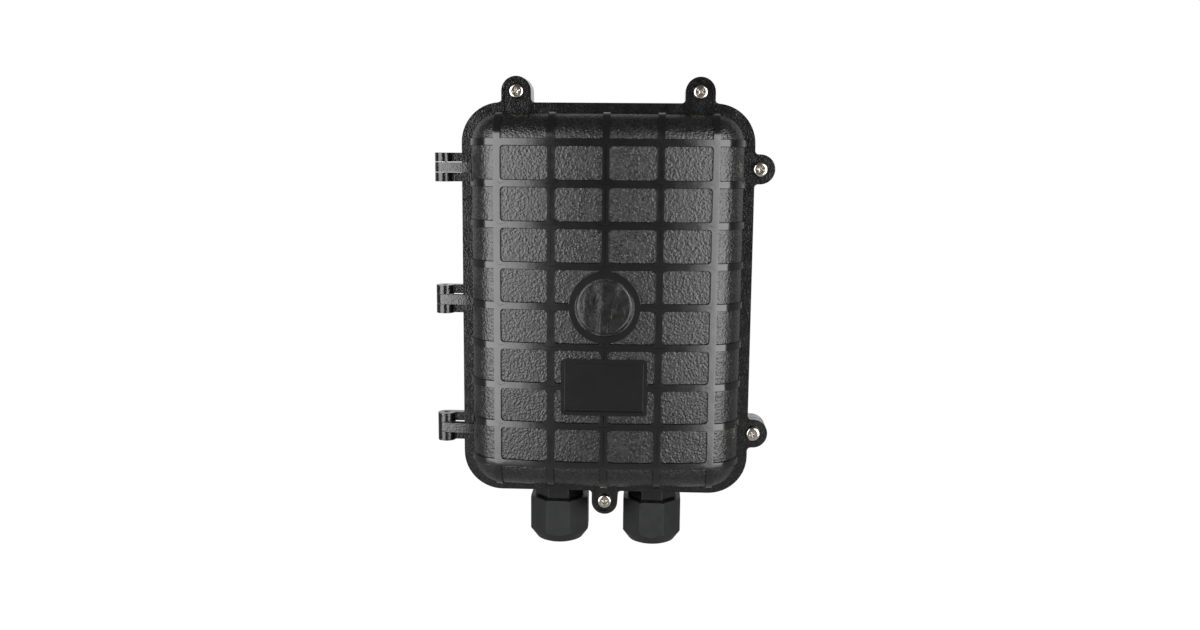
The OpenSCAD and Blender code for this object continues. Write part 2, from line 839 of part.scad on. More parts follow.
// A comb of round-bottomed grooves for splice sleeves.
module splice_holder(s) {
    color("#3f6db0") upright()
        translate([tray_mid_x + s * (holder_w + holder_split) / 2, tray_lift, tray_floor])
            difference() {
                translate([-holder_w / 2, -holder_len / 2, 0])
                    cube([holder_w, holder_len, holder_h]);
                for (i = [0 : grooves - 1])
                    translate([(i - (grooves - 1) / 2) * groove_pitch, holder_len / 2 + over,
                               holder_h - 1])
                        rotate([90, 0, 0]) {
                            cylinder(d = groove_pitch * 0.72, h = holder_len + 2 * over);
                            translate([-groove_pitch * 0.25, 0, 0])
                                cube([groove_pitch * 0.5, holder_h, holder_len + 2 * over]);
                        }
            }
}

module tray_bracket() {
    at = tray_knuckle_at + tray_knuckle_h + knuckle_gap;
    foot = base_floor + boss_rise;
    color("#232323") difference() {
        union() {
            translate([bracket_x - bracket_w / 2, -foot - bracket_t, tray_lift - bracket_reach])
                cube([bracket_w, bracket_t, 2 * bracket_reach]);
            for (s = SIDES) translate([0, 0, tray_lift + s * at - tray_knuckle_h / 2]) {
                translate([tray_pin_x, -tray_pin_level])
                    cylinder(r = tray_knuckle_r, h = tray_knuckle_h);
                translate([tray_pin_x - tray_knuckle_r, -tray_pin_level])
                    cube([2 * tray_knuckle_r, tray_pin_level - foot - over, tray_knuckle_h]);
            }
        }
        translate([tray_pin_x, -tray_pin_level, tray_lift - bracket_reach - over])
            cylinder(d = tray_pin_d + 2 * pin_fit, h = 2 * (bracket_reach + over));
        for (s = SIDES)
            translate([bracket_x, -foot - bracket_t - over, tray_lift + s * bracket_screw_at])
                rotate([-90, 0, 0]) cylinder(r = small_screw_d / 2 + nest_gap, h = bracket_t + 2 * over);
    }
}

module tray_pivot_pin() {
    color("#c9c9c6") translate([tray_pin_x, -tray_pin_level, tray_lift - bracket_reach + pin_inset])
        cylinder(d = tray_pin_d, h = 2 * (bracket_reach - pin_inset));
}

// A small pan-head screw whose head sits at a level, pointing back to the wall.
module small_screw(x, z, seat) {
    upright() translate([x, z, seat]) {
        pan_head(small_head_d, small_head_h);
        translate([0, 0, 0.2 - small_screw_len + bracket_t])
            cylinder(d = small_screw_d, h = small_screw_len - bracket_t);
    }
}

module bracket_screws() {
    color("#d0cfca") for (s = SIDES)
        small_screw(bracket_x, tray_lift + s * bracket_screw_at,
                    base_floor + boss_rise + bracket_t);
}

module cable_clamp(s) {
    color("#b9b9b5") upright() translate([s * clamp_x, clamp_z]) difference() {
        translate([0, 0, clamp_boss_top]) {
            linear_extrude(clamp_t) rounded(clamp_l, clamp_w, 2);
            for (e = SIDES) translate([e * (clamp_l - clamp_t) / 2, 0, (clamp_t - 3) / 2])
                cube([clamp_t, clamp_w - 4, clamp_t + 3], center = true);
        }
        translate([0, 0, clamp_boss_top - over])
            cylinder(r = small_screw_d / 2 + nest_gap, h = clamp_t + 2 * over);
    }
}

module clamp_screws() {
    color("#d0cfca") for (s = SIDES) small_screw(s * clamp_x, clamp_z, clamp_boss_top + clamp_t);
}

base_shell();
cover_shell();
cover_gasket();
hinge_pin(0);  // hinge_pin_top
hinge_pin(1);  // hinge_pin_middle
hinge_pin(2);  // hinge_pin_bottom
threaded_inserts();
cover_screw(0);  // cover_screw_top_left
cover_screw(1);  // cover_screw_top_right
cover_screw(2);  // cover_screw_upper_right
cover_screw(3);  // cover_screw_lower_right
cover_screw(4);  // cover_screw_bottom
gland_body(-1);  // gland_body_left
gland_body(1);  // gland_body_right
gland_nut(-1);  // gland_nut_left
gland_nut(1);  // gland_nut_right
gland_seal(-1);  // gland_seal_left
gland_seal(1);  // gland_seal_right
gland_claw(-1);  // gland_claw_left
gland_claw(1);  // gland_claw_right
gland_lock_nut(-1);  // gland_lock_nut_left
gland_lock_nut(1);  // gland_lock_nut_right
gland_face_seal(-1);  // gland_face_seal_left
gland_face_seal(1);  // gland_face_seal_right
splice_tray();
tray_lid();
splice_holder(-1);  // splice_holder_left
splice_holder(1);  // splice_holder_right
tray_bracket();
tray_pivot_pin();
bracket_screws();
cable_clamp(-1);  // cable_clamp_left
cable_clamp(1);  // cable_clamp_right
clamp_screws();
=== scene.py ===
"""Looks of a clamshell fibre splice closure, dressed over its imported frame.

All sizes are in metres in the frame's own axes: X to the right, Z up, and the front of the
closure towards -Y. The frame's origin is the middle of the rear mounting plane.
"""

from __future__ import annotations

import logging
import math
from collections.abc import Callable, Iterable, Iterator
from contextlib import contextmanager
from dataclasses import dataclass, field
from enum import Enum

import bmesh
import bpy
from mathutils import Matrix, Vector

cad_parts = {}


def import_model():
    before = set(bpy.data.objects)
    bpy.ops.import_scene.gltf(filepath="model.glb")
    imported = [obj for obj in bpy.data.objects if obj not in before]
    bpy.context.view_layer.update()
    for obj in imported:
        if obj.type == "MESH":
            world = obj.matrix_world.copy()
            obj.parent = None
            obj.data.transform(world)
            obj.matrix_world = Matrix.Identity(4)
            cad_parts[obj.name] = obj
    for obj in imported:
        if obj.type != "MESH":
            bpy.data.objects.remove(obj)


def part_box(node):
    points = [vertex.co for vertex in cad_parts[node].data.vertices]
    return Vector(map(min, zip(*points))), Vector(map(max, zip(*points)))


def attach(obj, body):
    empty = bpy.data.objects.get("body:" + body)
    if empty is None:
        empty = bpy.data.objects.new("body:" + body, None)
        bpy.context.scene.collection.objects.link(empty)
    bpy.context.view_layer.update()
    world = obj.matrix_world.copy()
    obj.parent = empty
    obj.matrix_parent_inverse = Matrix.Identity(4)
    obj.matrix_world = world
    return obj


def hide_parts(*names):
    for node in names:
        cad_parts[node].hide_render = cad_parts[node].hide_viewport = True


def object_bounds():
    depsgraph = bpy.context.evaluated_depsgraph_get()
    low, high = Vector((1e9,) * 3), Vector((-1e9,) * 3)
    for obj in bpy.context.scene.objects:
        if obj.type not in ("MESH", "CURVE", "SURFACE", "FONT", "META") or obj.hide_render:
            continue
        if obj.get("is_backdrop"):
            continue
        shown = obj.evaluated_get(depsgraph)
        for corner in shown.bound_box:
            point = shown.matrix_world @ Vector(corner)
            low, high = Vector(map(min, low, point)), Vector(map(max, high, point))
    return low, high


MM = 0.001
MERGE_DISTANCE = 0.002 * MM  # closer corners of a CAD mesh are one corner
FLAT_ANGLE = math.radians(0.4)  # flatter neighbours in a CAD mesh are one face
MOULD_EASE = 0.35 * MM  # rounding that a mould leaves on an edge
LOG = logging.getLogger("splice_closure")


# ---- small tools ----


def linear(code: str) -> tuple[float, float, float, float]:
    """Turns an sRGB hex colour into linear values.

    Args:
        code: The colour as #rrggbb.

    Returns:
        Linear red, green, blue and an alpha of 1.
    """
    levels = [int(code[i : i + 2], 16) / 255 for i in (1, 3, 5)]
    r, g, b = (v / 12.92 if v <= 0.04045 else ((v + 0.055) / 1.055) ** 2.4 for v in levels)
    return (r, g, b, 1.0)


def only(*objects: bpy.types.Object) -> None:
    """Selects these objects and nothing else, the first of them active."""
    bpy.ops.object.select_all(action="DESELECT")
    for obj in objects:
        obj.select_set(True)
    bpy.context.view_layer.objects.active = objects[0]


@contextmanager
def editing(obj: bpy.types.Object, kind: str = "FACE") -> Iterator[None]:
    """Opens an object in edit mode with nothing selected, and closes it again.

    Args:
        obj: The mesh object to edit.
        kind: What is selected in it: VERT, EDGE or FACE.
    """
    only(obj)
    bpy.ops.object.mode_set(mode="EDIT")
    bpy.ops.mesh.select_mode(type=kind)
    bpy.ops.mesh.select_all(action="DESELECT")
    try:
        yield
    finally:
        bpy.ops.object.mode_set(mode="OBJECT")


def pick_faces(obj: bpy.types.Object, wanted: Callable[[bmesh.types.BMFace], bool]) -> int:
    """Selects faces in edit mode by their place or direction.

    Args:
        obj: The object that is being edited.
        wanted: Says whether a face is selected.

    Returns:
        How many faces were selected.
    """
    bm = bmesh.from_edit_mesh(obj.data)
    bm.normal_update()
    count = 0
    for face in bm.faces:
        hit = wanted(face)
        face.select_set(hit)
        count += hit
    bm.select_flush_mode()
    bmesh.update_edit_mesh(obj.data)
    return count


def pick_edges(obj: bpy.types.Object, wanted: Callable[[bmesh.types.BMEdge], bool]) -> int:
    """Selects edges in edit mode by their place or direction.

    Args:
        obj: The object that is being edited, in edge mode.
        wanted: Says whether an edge is selected.

    Returns:
        How many edges were selected.
    """
    bm = bmesh.from_edit_mesh(obj.data)
    bm.normal_update()
    count = 0
    for edge in bm.edges:
        hit = wanted(edge)
        edge.select_set(hit)
        count += hit
    bmesh.update_edit_mesh(obj.data)
    return count


def settle(obj: bpy.types.Object) -> bpy.types.Object:
    """Puts an object's place, turn and size into its mesh, and returns it."""
    only(obj)
    bpy.ops.object.transform_apply(location=True, rotation=True, scale=True)
    return obj


def finish_with(obj: bpy.types.Object, kind: str, **settings: object) -> None:
    """Adds one modifier and applies it.

    Args:
        obj: The object to finish.
        kind: The modifier's type.
        settings: The modifier's own values.
    """
    only(obj)
    modifier = obj.modifiers.new(kind.lower(), kind)
    for name, value in settings.items():
        setattr(modifier, name, value)
    bpy.ops.object.modifier_apply(modifier=modifier.name)


def cut(obj: bpy.types.Object, tool: bpy.types.Object, how: str = "DIFFERENCE") -> None:
    """Cuts one object by another, or joins them, and removes the tool."""
    finish_with(obj, "BOOLEAN", object=tool, operation=how, solver="EXACT")
    bpy.data.objects.remove(tool)


def smooth(obj: bpy.types.Object, angle: float = 35.0) -> None:
    """Shades an object smooth up to an angle in degrees, with even normals over its flats."""
    only(obj)
    bpy.ops.object.shade_smooth_by_angle(angle=math.radians(angle))
    finish_with(obj, "WEIGHTED_NORMAL", keep_sharp=True, weight=80)


def copy_of(node: str, name: str) -> bpy.types.Object:
    """Copies a CAD node into a piece of its own, with its loose triangles merged.

    Args:
        node: The node's name.
        name: The new piece's name.

    Returns:
        The new object, at the origin, with flat areas as single faces.
    """
    source = bpy.data.objects[node]
    piece = bpy.data.objects.new(name, source.data.copy())
    piece.data.name = name
    bpy.context.scene.collection.objects.link(piece)
    piece.data.materials.clear()
    with editing(piece):
        bpy.ops.mesh.select_all(action="SELECT")
        bpy.ops.mesh.customdata_custom_splitnormals_clear()
        bpy.ops.mesh.remove_doubles(threshold=MERGE_DISTANCE)
        bpy.ops.mesh.dissolve_limited(angle_limit=FLAT_ANGLE)
    return piece


def eased(piece: bpy.types.Object, width: float, angle: float = 30.0) -> bpy.types.Object:
    """Rounds a piece's sharp edges a little, as a mould or a tumbler leaves them.

    Args:
        piece: The piece.
        width: Width of the rounding.
        angle: The smallest angle between faces, in degrees, that counts as an edge.

    Returns:
        The same piece.
    """
    finish_with(
        piece,
        "BEVEL",
        width=width,
        segments=2,
        limit_method="ANGLE",
        angle_limit=math.radians(angle),
        miter_outer="MITER_ARC",
        use_clamp_overlap=True,
    )
    smooth(piece)
    return piece


def box_of(name: str, low: Vector, high: Vector) -> bpy.types.Object:
    """Adds a block between two corners, as the start of a piece."""
    bpy.ops.object.select_all(action="DESELECT")
    bpy.ops.mesh.primitive_cube_add(size=1, location=(low + high) / 2, scale=high - low)
    obj = settle(bpy.context.object)
    obj.name = obj.data.name = name
    return obj


def add_node(
    tree: bpy.types.NodeTree,
    kind: str,
    inputs: dict[str | int, object] | None = None,
    **settings: object,
) -> bpy.types.Node:
    """Adds a node with its settings, values and links.

    Args:
        tree: The node tree to add it to.
        kind: The node's type.
        inputs: A value, or the output socket to link, for each input by name or place.
        settings: The node's own properties.

    Returns:
        The new node.
    """
    node = tree.nodes.new(kind)
    for name, value in settings.items():
        setattr(node, name, value)
    for key, value in (inputs or {}).items():
        if isinstance(value, bpy.types.NodeSocket):
            tree.links.new(value, node.inputs[key])
        else:
            node.inputs[key].default_value = value
    return node


def seen_by(tree: bpy.types.NodeTree, *rays: str) -> bpy.types.NodeSocket:
    """Makes a socket that is 1 for these kinds of ray and 0 for all others.

    Args:
        tree: The node tree to add it to.
        rays: Outputs of the Light Path node.

    Returns:
        The socket.
    """
    path = add_node(tree, "ShaderNodeLightPath")
    seen = path.outputs[rays[0]]
    for ray in rays[1:]:
        either = add_node(
            tree, "ShaderNodeMath", {0: seen, 1: path.outputs[ray]}, operation="MAXIMUM"
        )
        seen = either.outputs["Value"]
    return seen


# ---- finishes ----


@dataclass(frozen=True)
class Finish:
    """One real material and how it was made.

    Attributes:
        name: The material's plain name.
        colour: Its base colour as sRGB hex.
        roughness: Its middle roughness.
        specular: Strength of its surface reflection, 0.5 being 4 percent.
        metallic: 1 for bare metal.
        grain: Pitch of its surface grain, or 0 for none.
        relief: Depth of that grain.
        spread: How much the roughness wanders over the surface.
        ior: Index of refraction.
        clear: Share of light that goes through.
    """

    name: str
    colour: str
    roughness: float
    specular: float = 0.5
    metallic: float = 0.0
    grain: float = 0.0
    relief: float = 0.0
    spread: float = 0.06
    ior: float = 1.5
    clear: float = 0.0

    def build(self) -> bpy.types.Material:
        """Makes the material once, and returns the same one after that."""
        made = bpy.data.materials.get(self.name)
        if made:
            return made
        made = bpy.data.materials.new(self.name)
        made.use_nodes = True
        tree = made.node_tree
        tree.nodes.clear()
        place = add_node(tree, "ShaderNodeTexCoord").outputs["Object"]
        shader = add_node(
            tree,
            "ShaderNodeBsdfPrincipled",
            {
                "Metallic": self.metallic,
                "Specular IOR Level": self.specular,
                "IOR": self.ior,
                "Transmission Weight": self.clear,
                "Base Color": self.tone(tree, place),
                "Roughness": self.sheen(tree, place),
            },
        )
        height = self.surface(tree, place)
        if height is not None:
            bump = add_node(
                tree, "ShaderNodeBump", {"Strength": 1.0, "Distance": self.relief, "Height": height}
            )
            tree.links.new(bump.outputs["Normal"], shader.inputs["Normal"])
        add_node(tree, "ShaderNodeOutputMaterial", {"Surface": shader.outputs["BSDF"]})
        made.diffuse_color = linear(self.colour)
        return made

    def tone(self, tree: bpy.types.NodeTree, place: bpy.types.NodeSocket) -> bpy.types.NodeSocket:
        """Base colour that wanders a little over patches of about 15 mm.

        Args:
            tree: The material's nodes.
            place: Object coordinates.

        Returns:
            The colour's socket.
        """
        patches = add_node(
            tree, "ShaderNodeTexNoise", {"Vector": place, "Scale": 1 / (15 * MM), "Detail": 3.0}
        )
        return self.shades(tree, patches.outputs["Fac"], ((0.3, 0.86), (0.7, 1.14)))

    def shades(
        self,
        tree: bpy.types.NodeTree,
        value: bpy.types.NodeSocket,
        stops: tuple[tuple[float, float], tuple[float, float]],
    ) -> bpy.types.NodeSocket:
        """Runs the base colour from a darker to a lighter shade.

        Args:
            tree: The material's nodes.
            value: What the shade follows.
            stops: Place and brightness of the darker and of the lighter shade.

        Returns:
            The colour's socket.
        """
        r, g, b, _ = linear(self.colour)
        ramp = add_node(tree, "ShaderNodeValToRGB", {"Fac": value})
        for stop, (place, factor) in zip(ramp.color_ramp.elements, stops):
            stop.position = place
            stop.color = (r * factor, g * factor, b * factor, 1.0)
        return ramp.outputs["Color"]

    def sheen(self, tree: bpy.types.NodeTree, place: bpy.types.NodeSocket) -> bpy.types.NodeSocket:
        """Roughness that wanders round its middle value over patches of about 6 mm.

        Args:
            tree: The material's nodes.
            place: Object coordinates.

        Returns:
            The roughness socket.
        """
        patches = add_node(
            tree, "ShaderNodeTexNoise", {"Vector": place, "Scale": 1 / (6 * MM), "Detail": 4.0}
        )
        wander = add_node(
            tree,
            "ShaderNodeMapRange",
            {
                "Value": patches.outputs["Fac"],
                "From Min": 0.3,
                "From Max": 0.7,
                "To Min": max(0.02, self.roughness - self.spread),
                "To Max": min(1.0, self.roughness + self.spread),
            },
        )
        return wander.outputs["Result"]

    def surface(
        self, tree: bpy.types.NodeTree, place: bpy.types.NodeSocket
    ) -> bpy.types.NodeSocket | None:
        """Height of the surface grain, or None where it is smooth.

        Args:
            tree: The material's nodes.
            place: Object coordinates.

        Returns:
            The height's socket.
        """
        if not self.grain:
            return None
        grain = add_node(
            tree,
            "ShaderNodeTexNoise",
            {"Vector": place, "Scale": 1 / self.grain, "Detail": 3.0, "Roughness": 0.55},
        )
        return grain.outputs["Fac"]


@dataclass(frozen=True)
class SparkTexturedAbs(Finish):
    """Black ABS moulded against a spark-eroded wall: a coarse grain of small round craters."""

    def tone(self, tree: bpy.types.NodeTree, place: bpy.types.NodeSocket) -> bpy.types.NodeSocket:
        """Base colour with painted glints: pale specks at the grain's pitch that stand in for light
        caught by the grain.

        Args:
            tree: The material's nodes.
            place: Object coordinates.

        Returns:
            The colour's socket.
        """
        # Painted glints: random specks up to about twice as pale as the base colour stand in for
        # light caught by the grain, and are not tied to its bump.
        painted_glints = add_node(
            tree, "ShaderNodeTexNoise", {"Vector": place, "Scale": 1 / self.grain, "Detail": 2.0}
        )
        return self.shades(tree, painted_glints.outputs["Fac"], ((0.4, 0.5), (0.66, 2.1)))

    def surface(
        self, tree: bpy.types.NodeTree, place: bpy.types.NodeSocket
    ) -> bpy.types.NodeSocket | None:
        """Height of the spark grain: craters with a finer grain between them.

        Args:
            tree: The material's nodes.
            place: Object coordinates.

        Returns:
            The height's socket.
        """
        craters = add_node(
            tree,
            "ShaderNodeTexVoronoi",
            {"Vector": place, "Scale": 1 / self.grain, "Randomness": 1.0},
            feature="SMOOTH_F1",
        )
        fine = add_node(
            tree, "ShaderNodeTexNoise", {"Vector": place, "Scale": 1.6 / self.grain, "Detail": 2.0}
        )
        both = add_node(
            tree,
            "ShaderNodeMath",
            {0: craters.outputs["Distance"], 1: fine.outputs["Fac"]},
            operation="ADD",
        )
        return both.outputs["Value"]


@dataclass(frozen=True)
class FlowMarkedAbs(Finish):
    """Black ABS moulded against polished steel, with the streaks where the melt met."""

    def surface(
        self, tree: bpy.types.NodeTree, place: bpy.types.NodeSocket
    ) -> bpy.types.NodeSocket | None:
        """Height of the flow marks: long bent streaks about 3 mm apart.

        Args:
            tree: The material's nodes.
            place: Object coordinates.

        Returns:
            The height's socket.
        """
        turned = add_node(
            tree,
            "ShaderNodeMapping",
            {"Vector": place, "Rotation": (0.0, 0.9, 0.0), "Scale": (1.0, 1.0, 0.35)},
        )
        streaks = add_node(
            tree,
            "ShaderNodeTexNoise",
            {
                "Vector": turned.outputs["Vector"],
                "Scale": 1 / self.grain,
                "Detail": 5.0,
                "Roughness": 0.62,
                "Distortion": 1.4,
            },
        )
        return streaks.outputs["Fac"]


class Finishes(Enum):
    """The finishes of the closure's parts."""

    # Spark-eroded black ABS: the coarse grain scatters light, and painted glints in its base colour
    # lighten it, so panels look lighter than ribs.
    SPARK_ABS = SparkTexturedAbs(
        "spark_textured_black_abs", "#1b1c1b", 0.27, grain=1.3 * MM, relief=0.24 * MM
    )
    # The flange, ears, hinges and base: the same resin with a finer, flatter spark grain.
    FINE_ABS = SparkTexturedAbs(
        "fine_spark_black_abs", "#131413", 0.17, grain=1.0 * MM, relief=0.07 * MM
    )
    # Black ABS from a polished steel wall: satin, with a faint orange peel.
    SATIN_ABS = Finish(
        "satin_black_abs", "#1a1b1a", 0.16, grain=2.6 * MM, relief=0.03 * MM, spread=0.03
    )
    # The polished badge: glossier, with flow marks.
    FLOW_ABS = FlowMarkedAbs(
        "flow_marked_black_abs", "#161413", 0.24, grain=7 * MM, relief=0.5 * MM, spread=0.1
    )
    # Black nylon 66: a dry, even surface.
    MATT_NYLON = Finish(
        "moulded_black_nylon", "#191a1b", 0.48, specular=0.35, grain=0.5 * MM, relief=0.01 * MM
    )
    # The gland body is the same nylon from a polished mould.
    GLOSS_NYLON = Finish(
        "polished_black_nylon", "#141515", 0.2, grain=4 * MM, relief=0.01 * MM
    )
    NATURAL_NYLON = Finish("moulded_natural_nylon", "#cfcabb", 0.45, relief=0.01 * MM)
    SEAL_RUBBER = Finish(
        "moulded_black_rubber", "#1a1a1a", 0.7, specular=0.3, grain=0.4 * MM, relief=0.01 * MM
    )
    NICKEL = Finish(
        "bright_nickel_plate", "#bdb6ac", 0.16, metallic=1.0, grain=1.5 * MM, relief=0.004 * MM
    )
    STEEL = Finish(
        "drawn_stainless_steel", "#c4c2bd", 0.28, metallic=1.0, grain=0.6 * MM, relief=0.003 * MM
    )
    BRASS = Finish("turned_brass", "#c9a35b", 0.25, metallic=1.0, grain=0.5 * MM, relief=0.003 * MM)
    WHITE_ABS = Finish(
        "moulded_white_abs", "#d3d2cb", 0.42, grain=0.6 * MM, relief=0.008 * MM
    )
    GREY_ABS = Finish("moulded_grey_abs", "#3d4144", 0.5, grain=0.6 * MM, relief=0.01 * MM)
    CLEAR_PC = Finish("clear_polycarbonate", "#f2f6f6", 0.06, ior=1.58, clear=1.0, spread=0.02)

    def put_on(self, obj: bpy.types.Object) -> None:
        """Makes this the object's only finish."""
        obj.data.materials.clear()
        obj.data.materials.append(self.value.build())

    def assign(self, obj: bpy.types.Object) -> None:
        """Puts this finish in a CAD node's own material slots."""
        for slot in obj.material_slots:
            slot.material = self.value.build()


# ---- the cover ----


@dataclass
class CoverMoulding:
    """The crowned cover with its rib grid, badge, plaque, flange, ears and hinge tongues.

    Attributes:
        body: The frame's body that the pieces ride on.
        width: Width over the ribs.
        height: Height over the ribs.
        corner: Corner radius over the ribs.
        edge: Radius of the rounded front edge.
        crown: Radius of the crown across the width.
        flange_front: Distance of the flange's front from the wall.
        rib_w: Width of a rib at its foot.
        rib_h: Height of a rib.
        pitch_x: Distance between the upright ribs.
        pitch_z: Distance between the level ribs.
        upright: Number of upright ribs.
        level: Number of level ribs.
        wall: Wall of the cover, with a rib on it.
        panel_r: Corner radius of the sunken panels.
        badge_r: Radius of the badge's flat ring.
        disc_r: Radius of the badge's polished disc.
        plaque_mm: Width and height of the plaque in millimetres.
        badge_seat: Half width of the place where the badge breaks the ribs.
        plaque_seat: Half width and half height of the place where the plaque breaks the ribs.
        top: Distance of the crown's top from the wall.
    """

    body: str = "cover"
    width: float = 151.6 * MM
    height: float = 209.6 * MM
    corner: float = 16.8 * MM
    edge: float = 15.6 * MM
    crown: float = 396 * MM
    flange_front: float = 41.5 * MM
    rib_w: float = 3.6 * MM
    rib_h: float = 1.0 * MM
    pitch_x: float = 29.5 * MM
    pitch_z: float = 22.1 * MM
    upright: int = 5
    level: int = 9
    wall: float = 3.6 * MM
    panel_r: float = 1.9 * MM
    badge_r: float = 19.75 * MM
    disc_r: float = 15.7 * MM
    plaque_mm: tuple[float, float] = (47.3, 31.3)
    badge_seat: float = 17 * MM
    plaque_seat: tuple[float, float] = (22.6 * MM, 14.6 * MM)
    top: float = field(init=False, default=0.0)

    def __post_init__(self) -> None:
        """Takes the crown's level from the frame."""
        self.top = -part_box("cover_shell")[0].y

    @property
    def plaque_z(self) -> float:
        """Height of the plaque's middle, two rows below the badge."""
        return -2 * self.pitch_z

    def sag(self, x: float) -> float:
        """How far the crown lies below its middle at a distance across."""
        return self.crown - math.sqrt(self.crown**2 - x * x)

    def rib_lines(self, count: int, pitch: float) -> list[float]:
        """Places of the middles of so many ribs."""
        return [(i - (count - 1) / 2) * pitch for i in range(count)]

    def dome(self, name: str, inset: float, foot: float) -> bpy.types.Object:
        """Builds the smooth rounded box that the cover is moulded to, still without its crown.

        Args:
            name: The object's name.
            inset: How far inside the surface over the ribs it lies.
            foot: Distance of its open rear edge from the wall.

        Returns:
            The object, open at the rear.
        """
        half = Vector((self.width / 2 - inset, 0, self.height / 2 - inset))
        front = self.top - inset
        obj = box_of(name, Vector((-half.x, -front, -half.z)), Vector((half.x, -foot, half.z)))
        with editing(obj, "EDGE"):
            pick_edges(obj, lambda e: abs((e.verts[0].co - e.verts[1].co).y) > 0.5 * (front - foot))
            bpy.ops.mesh.bevel(offset=self.corner - inset, segments=10, affect="EDGES")
        with editing(obj, "EDGE"):
            pick_edges(obj, lambda e: all(v.co.y < -front + 1e-5 for v in e.verts))
            bpy.ops.mesh.bevel(offset=self.edge - inset, segments=10, affect="EDGES")
        with editing(obj):
            pick_faces(obj, lambda f: f.normal.y > 0.9)
            bpy.ops.mesh.delete(type="FACE")
        with editing(obj, "VERT"):
            bpy.ops.mesh.select_all(action="SELECT")
            bpy.ops.mesh.remove_doubles(threshold=0.02 * MM)
        return obj

    def slice(self, obj: bpy.types.Object, axis: int, places: Iterable[float]) -> None:
        """Draws lines over an object where planes cross it.

        Args:
            obj: The object.
            axis: 0 for planes across X, 2 for planes across Z.
            places: Where the planes lie.
        """
        with editing(obj):
            for place in places:
                at, along = Vector((0, 0, 0)), Vector((0, 0, 0))
                at[axis], along[axis] = place, 1.0
                bpy.ops.mesh.select_all(action="SELECT")
                bpy.ops.mesh.bisect(plane_co=at, plane_no=along)

    def bend(self, obj: bpy.types.Object, foot: float) -> None:
        """Gives a dome its crown: everything above its foot drops by the crown's sag."""
        for vert in obj.data.vertices:
            if vert.co.y < -foot - 0.5 * MM:
                vert.co.y += self.sag(vert.co.x)

    def sunken(self, x: float, z: float) -> bool:
        """Whether a point seen from the front lies on a panel, or under the badge or plaque."""
        half = self.rib_w / 2
        if abs(x) < self.badge_seat and abs(z) < self.badge_seat:
            return True
        if abs(x) < self.plaque_seat[0] and abs(z - self.plaque_z) < self.plaque_seat[1]:
            return True
        columns = self.rib_lines(self.upright, self.pitch_x)
        rows = self.rib_lines(self.level, self.pitch_z)
        return all(abs(x - c) > half for c in columns) and all(abs(z - r) > half for r in rows)

    def skin(self) -> bpy.types.Object:
        """Builds the ribbed front: the rib grid stands over sunken, spark-textured panels."""
        foot = self.flange_front - 0.4 * MM
        obj = self.dome("cover_skin", 0.0, foot)
        columns = self.rib_lines(self.upright, self.pitch_x)
        rows = self.rib_lines(self.level, self.pitch_z)
        sides = (-self.rib_w / 2, self.rib_w / 2)
        self.slice(obj, 0, [c + s for c in columns for s in sides])
        self.slice(obj, 2, [r + s for r in rows for s in sides])
        self.slice(obj, 0, [c + self.pitch_x * k / 4 for c in columns[:-1] for k in (1, 2, 3)])
        wide, tall = self.plaque_seat
        self.slice(obj, 0, [s * p for s in (-1, 1) for p in (self.badge_seat, wide)])
        self.slice(obj, 2, [s * self.badge_seat for s in (-1, 1)])
        self.slice(obj, 2, [self.plaque_z + s * tall for s in (-1, 1)])
        self.bend(obj, foot)
        obj.data.materials.append(Finishes.SATIN_ABS.value.build())
        obj.data.materials.append(Finishes.SPARK_ABS.value.build())
        with editing(obj):
            count = pick_faces(
                obj,
                lambda f: self.sunken(*f.calc_center_median().xz),
            )
            obj.active_material_index = 1
            bpy.ops.object.material_slot_assign()
            bpy.ops.mesh.inset(
                thickness=0.35 * MM, depth=-self.rib_h, use_boundary=False, use_even_offset=True
            )
        LOG.info("cover skin: %d panel faces sunk", count)
        self.round_panel_corners(obj)
        finish_with(
            obj,
            "BEVEL",
            width=0.5 * MM,
            segments=3,
            limit_method="ANGLE",
            angle_limit=math.radians(32),
            use_clamp_overlap=True,
        )
        return obj

    def round_panel_corners(self, obj: bpy.types.Object) -> None:
        """Rounds the corners of the sunken panels, seen from the front."""

        def corner(edge: bmesh.types.BMEdge) -> bool:
            if len(edge.link_faces) != 2:
                return False
            length = edge.calc_length()
            beside = [e for v in edge.verts for e in v.link_edges if e is not edge]
            return (
                0.8 * self.rib_h < length < 1.35 * self.rib_h
                and edge.calc_face_angle(0.0) > math.radians(55)
                and min(e.calc_length() for e in beside) > 1.2 * self.panel_r
            )

        with editing(obj, "EDGE"):
            count = pick_edges(obj, corner)
            bpy.ops.mesh.bevel(offset=self.panel_r, segments=5, affect="EDGES", clamp_overlap=False)
        reach = Vector((self.width, 0, self.height)) / 2 - Vector((self.edge, 0, self.edge))

        def rib_top(face: bmesh.types.BMFace) -> bool:
            mid = face.calc_center_median()
            depth = mid.y + self.top - self.sag(mid.x)
            return abs(mid.x) < reach.x and abs(mid.z) < reach.z and depth < 0.7 * self.rib_h

        with editing(obj):
            pick_faces(obj, rib_top)
            obj.active_material_index = 0
            bpy.ops.object.material_slot_assign()
        LOG.info("cover skin: %d panel corners rounded", count)

    def hollow(self) -> bpy.types.Object:
        """Builds the cover's smooth inner face."""
        foot = self.flange_front - 4.6 * MM
        obj = self.dome("cover_inside", self.wall, foot)
        self.slice(obj, 0, [i * 6.5 * MM for i in range(-10, 11)])
        self.bend(obj, foot)
        with editing(obj):
            bpy.ops.mesh.select_all(action="SELECT")
            bpy.ops.mesh.flip_normals()
        obj.data.materials.append(Finishes.SATIN_ABS.value.build())
        return obj

    def rim(self) -> bpy.types.Object:
        """Keeps the flange, ears, lips and tongues of the CAD cover, with eased edges."""
        obj = copy_of("cover_shell", "cover_rim")
        reach_x, reach_z = self.width / 2 + 0.3 * MM, self.height / 2 + 0.3 * MM
        level = -self.flange_front - 0.05 * MM

